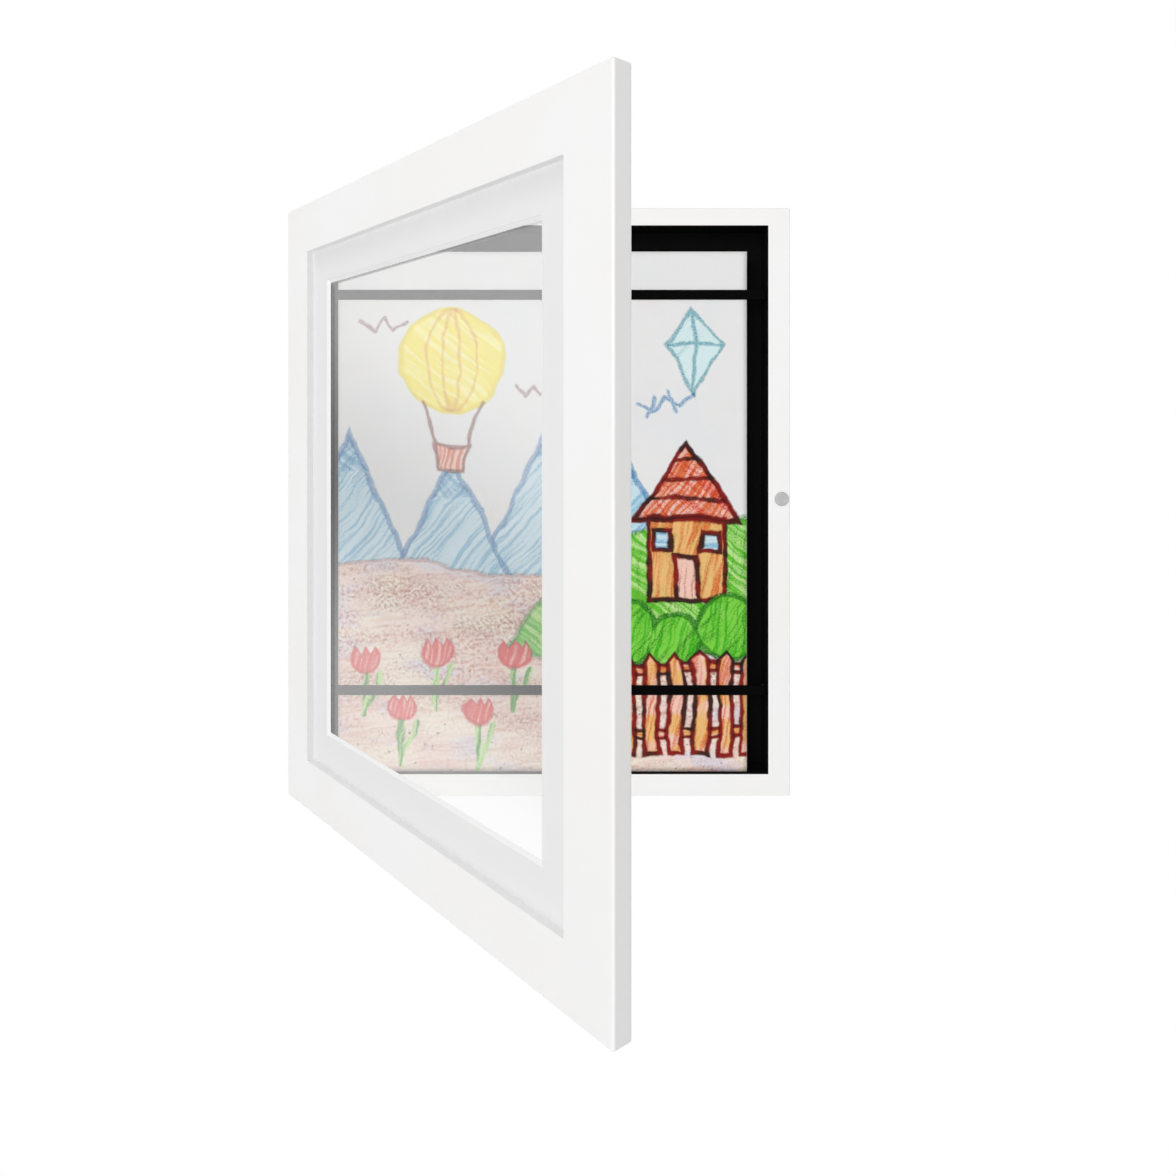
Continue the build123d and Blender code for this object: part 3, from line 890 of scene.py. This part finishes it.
def stored_sheets():
    chance = random.Random(STACK_SEED)
    low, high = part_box("stored_sheets")
    pivot = Vector(((low.x + high.x) / 2, 0, low.z))
    count = round((high.y - low.y) / STACK_PITCH)
    bm = bmesh.new()
    for layer in range(count):
        stray = chance.uniform(*STACK_STRAY)
        far_stray = chance.uniform(*STACK_STRAY)
        trim = chance.uniform(*STACK_TRIM)
        sheet_low = Vector((low.x + stray, low.y + layer * STACK_PITCH + STACK_GAP / 2, low.z))
        sheet_high = Vector((high.x - far_stray, 0, high.z - trim))
        start = len(bm.verts)
        paper_sheet(bm, sheet_low, sheet_high, STACK_COLUMNS, STACK_ROWS, STACK_PITCH - STACK_GAP, stack_wave)
        bm.verts.ensure_lookup_table()
        swing = Matrix.Rotation(math.radians(chance.uniform(-STACK_TURN_DEG, STACK_TURN_DEG)), 3, "Y")
        bmesh.ops.rotate(bm, verts=bm.verts[start:], cent=pivot, matrix=swing)
    print("stored sheets:", count)
    finished_piece("stored_paper", bm, stack_finish, "box", "paper", "stored_sheets")


stored_sheets()

# %% The sheet on show
SHOW_COLUMNS = 72
SHOW_ROWS = 92
COCKLE = 0.28 * MM
CURL = 0.9 * MM
CURL_LEAST = 0.25
CURL_MIDDLE = 0.46
HOLD_REACH = 14 * MM
page_low, page_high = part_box("sheet_on_show")
strap_boxes = [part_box("strap_upper"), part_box("strap_lower")]


def eased(value):
    """0 below 0, 1 above 1, smooth between."""
    value = min(1.0, max(0.0, value))
    return value * value * (3 - 2 * value)


def show_relief(across, up):
    """How far the paper stands forward: nothing at the straps and the foot, a little elsewhere, in slow waves,
    and most at its free top corners."""
    height = page_low.z + (page_high.z - page_low.z) * up
    free = eased((height - page_low.z) / HOLD_REACH)
    for strap_low, strap_high in strap_boxes:
        gap = max(strap_low.z - height, height - strap_high.z, 0.0)
        free *= eased(gap / HOLD_REACH)
    cockle = 0.5 + 0.5 * math.sin(11 * across + 3 * math.sin(5 * up)) * math.cos(8 * up + 2 * across)
    above = eased((height - strap_boxes[0][1].z) / (page_high.z - strap_boxes[0][1].z))
    corner = eased(abs(across - CURL_MIDDLE) / (1 - CURL_MIDDLE))
    return free * COCKLE * cockle + above * (CURL_LEAST + (1 - CURL_LEAST) * corner) * CURL


print("sheet on show, mm:", [round(v / MM, 1) for v in page_high - page_low])

# %% [markdown]
# ## The drawing
# The sheet on show carries a child's wax crayon drawing. Wax only catches the high points of the paper, so a
# crayon mark is broken up by the tooth, and a filled patch shows the strokes it was rubbed with. The drawing
# here is a generic one: blue hills and a balloon over ploughed earth with tulips, and on the right a cottage on
# a green hill, with bushes, a fence and a kite. An image could hold it, but a picture made of sums stays sharp
# at any distance. Each shape is a distance in millimetres on the page, measured from its lower left corner, on
# places that wobble like a small hand.

# %% The page in millimetres, and the hand's wobble
page = Finish("crayon_drawing", {"Specular IOR Level": 0.3})
flat_page = turned(page.place, (1 / MM, 0, 1 / MM), (math.radians(-90), 0, 0),
                   (-page_low.x / MM, -page_low.z / MM, 0))
SWAY = (26, 9.0)
SHAKE = (3.5, 1.3)
NUMBER_SUMS = ("DISTANCE", "DOT_PRODUCT", "LENGTH")


def vector_sum(operation, *values, **named):
    """A sum on vectors. A distance, a dot product or a length is a number, at the node's second output."""
    sockets = {**dict(enumerate(values)), **named}
    return page.node("ShaderNodeVectorMath", {"operation": operation}, sockets, int(operation in NUMBER_SUMS))


def shaken(place, size_mm, reach_mm):
    """Places pushed about by coloured noise."""
    sockets = {"Vector": place, "Scale": 1 / size_mm, "Detail": 2.0}
    push = page.node("ShaderNodeTexNoise", None, sockets, 1)
    centred = vector_sum("SUBTRACT", push, (0.5, 0.5, 0.5))
    return vector_sum("ADD", place, vector_sum("MULTIPLY", centred, (reach_mm, reach_mm, 0)))


def page_noise(place, size_mm, detail=2.0, rough=0.55):
    """Noise on the page, whose places are in millimetres already."""
    return noise(place, size_mm, detail, rough, unit=1)


hand = shaken(shaken(flat_page, *SWAY), *SHAKE)
page_x, page_y, _ = parts_of(hand)
print("the hand strays by up to", (SWAY[1] + SHAKE[1]) / 2, "mm")

# %% The paper's tooth, and strokes laid side by side
tooth = ranged(page_noise(flat_page, 0.9, 4.0, 0.7), 0.34, 0.66)
STROKE_STRETCH = (0.06, 1, 1)


def strokes(angle_deg, gap_mm=2.3):
    """Side by side crayon strokes at an angle, as streaks from 0 to 1."""
    place = turned(hand, turn=(0, 0, math.radians(-angle_deg)))
    return ranged(page_noise(turned(place, STROKE_STRETCH), gap_mm, 1.6, 0.5), 0.34, 0.66)


rising = strokes(48)
falling = strokes(-38, 2.6)
level = strokes(6, 2.4)
steep = strokes(80, 2.1)
uneven = page_noise(flat_page, 6) - 0.5
cloud = page_noise(flat_page, 9, 3.0)
print("hand, tooth and strokes:", len(page.tree.nodes), "nodes")

# %% [markdown]
# A shape is easiest to fill and to outline when one knows how far each place lies from its edge: below nothing
# is inside, and near nothing is the line. Two such distances join by the smaller one and overlap by the larger.

# %% Distances on the page
def from_point(x, y):
    return vector_sum("DISTANCE", hand, (x, y, 0))


def from_line(start, end):
    """How far a place lies from a straight stroke."""
    start, run = Vector((*start, 0)), Vector((*end, 0)) - Vector((*start, 0))
    offset = vector_sum("SUBTRACT", hand, start)
    along = vector_sum("DOT_PRODUCT", offset, run / run.length_squared)
    held = page.node("ShaderNodeClamp", None, {"Value": along})
    return vector_sum("DISTANCE", offset, vector_sum("SCALE", run, Scale=held))


def joined(*distances):
    return functools.reduce(smaller, distances)


def from_lines(*points):
    """How far a place lies from a row of strokes, end to end."""
    return joined(*[from_line(start, end) for start, end in zip(points, points[1:])])


def beyond_edges(*corners):
    """How far a place lies outside a convex shape, its corners given anticlockwise. It is negative inside."""
    reaches = []
    for start, end in zip(corners, corners[1:] + corners[:1]):
        edge = Vector(end) - Vector(start)
        outward = Vector((edge.y, -edge.x, 0)).normalized()
        reaches.append(vector_sum("DOT_PRODUCT", hand, outward) - outward.dot(Vector((*start, 0))))
    return functools.reduce(larger, reaches)


def block(left, foot, right, top):
    return beyond_edges((left, foot), (right, foot), (right, top), (left, top))


# %% Insides and lines
LINE_WANDER = 1.4
LINE_EDGE = 0.6


def inside(distance):
    return fading(distance, -0.7, 0.8)


def drawn(distance, width=1.9):
    """A crayon line along a distance of nothing, pressed harder in some places than in others."""
    return fading(distance + uneven * LINE_WANDER, width / 2 - LINE_EDGE, width / 2 + LINE_EDGE)


# %% Rubbing a crayon
TOOTH_BITE = 0.32
STROKE_BITE = 0.6


class Drawing:
    """The page as coloured so far. Each method lays something more on it."""

    def __init__(self, colour):
        self.colour = colour

    def lay(self, share, colour, mode="MIX"):
        self.colour = blended(share, self.colour, colour, mode)

    def wash(self, shape, colour):
        """A soft even layer that hides what was drawn below, thinner in cloudy patches."""
        self.lay(shape * ranged(cloud, 0.3, 0.6, 0.8, 1.0), colour)

    def rub(self, shape, colour, press, streaks=None):
        """Rubs a crayon inside a shape: the wax catches the tooth and follows the strokes."""
        wax = tooth * TOOTH_BITE + press
        if streaks is not None:
            wax = wax + (streaks - 0.5) * STROKE_BITE
        self.lay(shape * ranged(wax, 0.3, 1.0), colour, "MULTIPLY")

    def fill(self, shape, under, *rubbings):
        """Fills a shape as a child does: an even layer, then crayons, each with its press and its strokes."""
        filled = inside(shape)
        self.wash(filled, under)
        for colour, press, streaks in rubbings:
            self.rub(filled, colour, press, streaks)

    def outline(self, shape, width, colour, press):
        self.rub(drawn(abs(shape), width), colour, press)

    def drag(self, shape, colour, size_mm, cover, shift):
        """Wax dragged lightly, in drifts, so that only the high grains take it."""
        place = turned(flat_page, (0.4, 1, 1), shift=(shift, shift, 0))
        drift = ranged(page_noise(place, 17), 0.42, 0.6)
        grain = ranged(page_noise(flat_page, size_mm), 0.46, 0.62)
        self.lay(shape * drift * grain * cover, colour, "MULTIPLY")


# %% The crayons
YELLOW = tone(252, 240, 96)
PALE_YELLOW = tone(252, 246, 160)
PALE_BLUE = tone(202, 226, 236)
SKY_BLUE = tone(160, 205, 228)
BLUE = tone(96, 160, 206)
PALE_TEAL = tone(212, 234, 236)
TEAL = tone(116, 176, 190)
RED = tone(236, 96, 98)
PINK = tone(242, 200, 186)
CREAM = tone(243, 233, 216)
BLUSH = tone(241, 220, 212)
LILAC = tone(228, 220, 228)
EARTH = tone(206, 150, 128)
BROWN = tone(150, 88, 74)
RED_BROWN = tone(146, 26, 22)
DARK_BROWN = tone(62, 26, 14)
ORANGE = tone(228, 134, 78)
GOLD = tone(236, 186, 118)
PALE_GREEN = tone(186, 228, 140)
GREEN = tone(122, 210, 66)
DEEP_GREEN = tone(40, 146, 50)

pressed = page_noise(turned(flat_page, shift=(40, 90, 0)), 24)
umber = flecked(RED_BROWN, DARK_BROWN, pressed, 0.47, 0.58)

# %% Paper of the drawing
PAGE_WHITE = grey(232)
PAGE_COOL = tone(226, 229, 233)
PAGE_WARM = tone(234, 227, 228)

blotch = page_noise(flat_page, 34, 3.0)
smear = page_noise(turned(flat_page, (0.5, 1, 1), shift=(70, 0, 0)), 20, 3.0)
paper = flecked(PAGE_WHITE, PAGE_COOL, blotch, 0.45, 0.72, 0.5)
drawing = Drawing(flecked(paper, PAGE_WARM, smear, 0.5, 0.75, 0.5))
print("bare page:", len(page.tree.nodes), "nodes")

# %% Blue hills
PEAKS = ((112, 186, 44), (6, 178, 40), (150, 172, 34), (60, 166, 38))
HILLS_FOOT = 90
SUMMIT = 20

for x, y, half in PEAKS:
    slope = beyond_edges((x - half, HILLS_FOOT), (x + half, HILLS_FOOT), (x, y))
    drawing.fill(slope, PALE_BLUE, (SKY_BLUE, 0.36, rising))
    drawing.rub(inside(larger(slope, y - SUMMIT - page_y)), SKY_BLUE, 0.5, falling)
    drawing.outline(slope, 3.0, BLUE, 0.62)
print("blue hills:", len(PEAKS))

# %% The ploughed earth
EARTH_TOP = 108
EARTH_SWELL = 5
FALLOW_TOP = 56
FURROW_GAP = 17
PEBBLE_SIZE = 3.2
DRAGGED = ((EARTH, 1.9, 0.65, 0), (PINK, 2.6, 0.65, 60), (BROWN, 1.5, 0.5, 120))

ground = page_y - EARTH_TOP - wave(page_x * 0.05) * EARTH_SWELL
furrow = folded(page_y + page_x * page_x * 0.0014 - page_x * 0.12, FURROW_GAP / 2)
earth_wash = flecked(CREAM, BLUSH, blotch, 0.4, 0.56)
earth_wash = flecked(earth_wash, LILAC, smear, 0.52, 0.64)
drawing.lay(inside(ground), earth_wash)
drawing.rub(inside(ground), BLUSH, 0.26, level)
tilled = inside(ground + 2) * ranged(page_y, 8, FALLOW_TOP, 0.45, 1.0)
for colour, size_mm, cover, shift in DRAGGED:
    drawing.drag(tilled, colour, size_mm, cover, shift)
drawing.rub(drawn(furrow, 1.7) * inside(ground), BROWN, 0.2)
drawing.outline(ground, 2.2, EARTH, 0.5)
pebble = page_noise(flat_page, PEBBLE_SIZE, 1.0)
drawing.rub(inside(ground + 4) * ranged(pebble, 0.68, 0.74), DARK_BROWN, 0.5)
print("earth up to", EARTH_TOP, "mm")

# %% The green hill
HILL = (206, 6)
HILL_RADIUS = 130
HILL_FOOT = 62

hill = larger(from_point(*HILL) - HILL_RADIUS, HILL_FOOT - page_y)
drawing.fill(hill, PALE_GREEN, (GREEN, 0.5, falling))
drawing.rub(inside(hill + 5), DEEP_GREEN, 0.12, steep)
drawing.outline(hill, 2.6, DEEP_GREEN, 0.5)
print("green hill up to", HILL[1] + HILL_RADIUS, "mm")

# %% The balloon and its basket
BALLOON = (60, 217)
BALLOON_RADIUS = 27
GORES = (2.1, 6.5)
BASKET = ((53, 160), (67, 160), (69, 173), (51, 173))
ROPES = (((43, 196), (52, 173)), ((77, 196), (68, 173)))

skin = from_point(*BALLOON) - BALLOON_RADIUS
drawing.fill(skin, PALE_YELLOW, (YELLOW, 0.66, falling))
drawing.outline(skin, 2.6, YELLOW, 0.9)
from_middle = vector_sum("SUBTRACT", hand, (*BALLOON, 0))
for gore in GORES:
    rim = vector_sum("LENGTH", vector_sum("MULTIPLY", from_middle, (gore, 1, 1))) - BALLOON_RADIUS
    drawing.rub(drawn(abs(rim) / gore, 1.2) * inside(skin), GOLD, 0.6)
basket = beyond_edges(*BASKET)
ropes = joined(*[from_line(*rope) for rope in ROPES])
drawing.fill(basket, PINK, (ORANGE, 0.5, steep))
drawing.rub(drawn(smaller(abs(basket), ropes)), BROWN, 0.7)
print("balloon,", 2 * BALLOON_RADIUS, "mm across")

# %% The kite and two birds
KITE = (188, 222)
KITE_HIGH = 22
KITE_WIDE = 15
SPAR_RISE = 5
TAIL = ((188, 200), (180, 194), (173, 198), (166, 190), (158, 194))
BOWS = (((178, 191), (175, 201)), ((163, 187), (168, 197)))
BIRDS = (((12, 238), (19, 232), (24, 239), (29, 232), (37, 238)),
         ((95, 204), (100, 199), (104, 205), (108, 199), (114, 204)))

x, y = KITE
foot, top = (x, y - KITE_HIGH), (x, y + KITE_HIGH)
left, right = (x - KITE_WIDE, y + SPAR_RISE), (x + KITE_WIDE, y + SPAR_RISE)
kite = beyond_edges(foot, right, top, left)
spars = smaller(from_line(foot, top), from_line(left, right))
drawing.fill(kite, PALE_TEAL, (TEAL, 0.05, rising))
drawing.rub(drawn(smaller(abs(kite), spars)), TEAL, 0.62)
tail = joined(from_lines(*TAIL), *[from_line(*bow) for bow in BOWS])
drawing.rub(drawn(tail), BLUE, 0.6)
birds = joined(*[from_lines(*bird) for bird in BIRDS])
drawing.rub(drawn(birds, 1.8), BROWN, 0.6)
print("a kite and", len(BIRDS), "birds")

# %% The cottage
WALL = (164, 90, 204, 135)
ROOF = ((156, 134), (212, 134), (185, 173))
DOORWAY = (178, 90, 190, 114)
PANES = ((167, 117, 176, 128), (192, 117, 201, 128))
TILE_GAP = 10.0

wall, roof, doorway = block(*WALL), beyond_edges(*ROOF), block(*DOORWAY)
panes = joined(*[block(*pane) for pane in PANES])
tile = folded(page_y - ROOF[0][1], TILE_GAP / 2)
drawing.fill(wall, GOLD, (ORANGE, 0.36, steep))
drawing.fill(roof, PINK, (ORANGE, 0.6, rising), (RED, 0.24, falling))
drawing.rub(drawn(tile, 2.2) * inside(roof), umber, 0.8)
drawing.fill(doorway, PINK, (RED_BROWN, 0.16, steep))
drawing.fill(panes, PALE_BLUE, (SKY_BLUE, 0.4, level))
outline = joined(abs(wall), abs(roof), abs(doorway), abs(panes))
drawing.rub(drawn(outline, 2.9), umber, 0.9)
print("cottage up to", ROOF[2][1], "mm")

# %% Bushes
BUSHES = ((151, 74, 17), (178, 68, 14), (206, 76, 17))

bush = joined(*[from_point(x, y) - radius for x, y, radius in BUSHES])
drawing.fill(bush, GREEN, (GREEN, 0.4, steep))
drawing.rub(inside(bush + 2), DEEP_GREEN, 0.2, rising)
drawing.outline(bush, 2.8, DEEP_GREEN, 0.66)
print("bushes:", len(BUSHES))

# %% Tulips
TULIPS = ((14, 60), (33, 34), (52, 64), (74, 32), (93, 62))
TULIP_HALF = 7.5
PETAL_HALF = 2.5
PETAL_SLOPE = 1.8

stems, heads = [], []
for x, y in TULIPS:
    leaf = from_lines((x, y - 26), (x + 6, y - 15), (x + 8, y - 8))
    stems.append(smaller(from_line((x, y - 30), (x, y - 6)), leaf))
    teeth = page_y - y - 2 - folded(page_x - x + PETAL_HALF, PETAL_HALF) * PETAL_SLOPE
    heads.append(larger(from_point(x, y) - TULIP_HALF, teeth))
stem, head = drawn(joined(*stems), 2.8), joined(*heads)
drawing.wash(stem, PALE_GREEN)
drawing.rub(stem, DEEP_GREEN, 0.45, steep)
drawing.fill(head, PINK, (RED, 0.72, steep))
drawing.outline(head, 1.8, RED, 0.7)
print("tulips:", len(TULIPS))

# %% The fence
FENCE_LEFT = 146
FENCE_FOOT = 9
FENCE_TOP = 63
FENCE_RAILS = (21, 55)
RAIL_HALF = 2.4
PLANK_GAP = 13.0
PLANK_HALF = 3.8
PLANK_POINT = 1.1

before_fence = FENCE_LEFT - page_x
from_plank = PLANK_GAP / 2 - folded(page_x - FENCE_LEFT, PLANK_GAP / 2)
ends = larger(page_y + from_plank * PLANK_POINT - FENCE_TOP, FENCE_FOOT - page_y)
planks = larger(larger(from_plank - PLANK_HALF, before_fence), ends)
rails = larger(joined(*[abs(page_y - height) for height in FENCE_RAILS]) - RAIL_HALF, before_fence)
wood = flecked(PINK, GOLD, page_noise(flat_page, 15, 1.0), 0.42, 0.58)
for boards, press, streaks, width in ((rails, 0.4, level, 2.2), (planks, 0.34, steep, 2.6)):
    drawing.lay(inside(boards), wood)
    drawing.rub(inside(boards), ORANGE, press, streaks)
    drawing.outline(boards, width, umber, 0.9)

drawing_finish = textured(page, drawing.colour, tooth, depth_mm=0.04, rough=(0.9, 0.72))

# %% Hang the drawing under the straps
bm = bmesh.new()
paper_sheet(bm, page_low, page_high, SHOW_COLUMNS, SHOW_ROWS, PAPER, show_relief)
finished_piece("drawing_sheet", bm, drawing_finish, "box", "drawing_paper", "sheet_on_show")
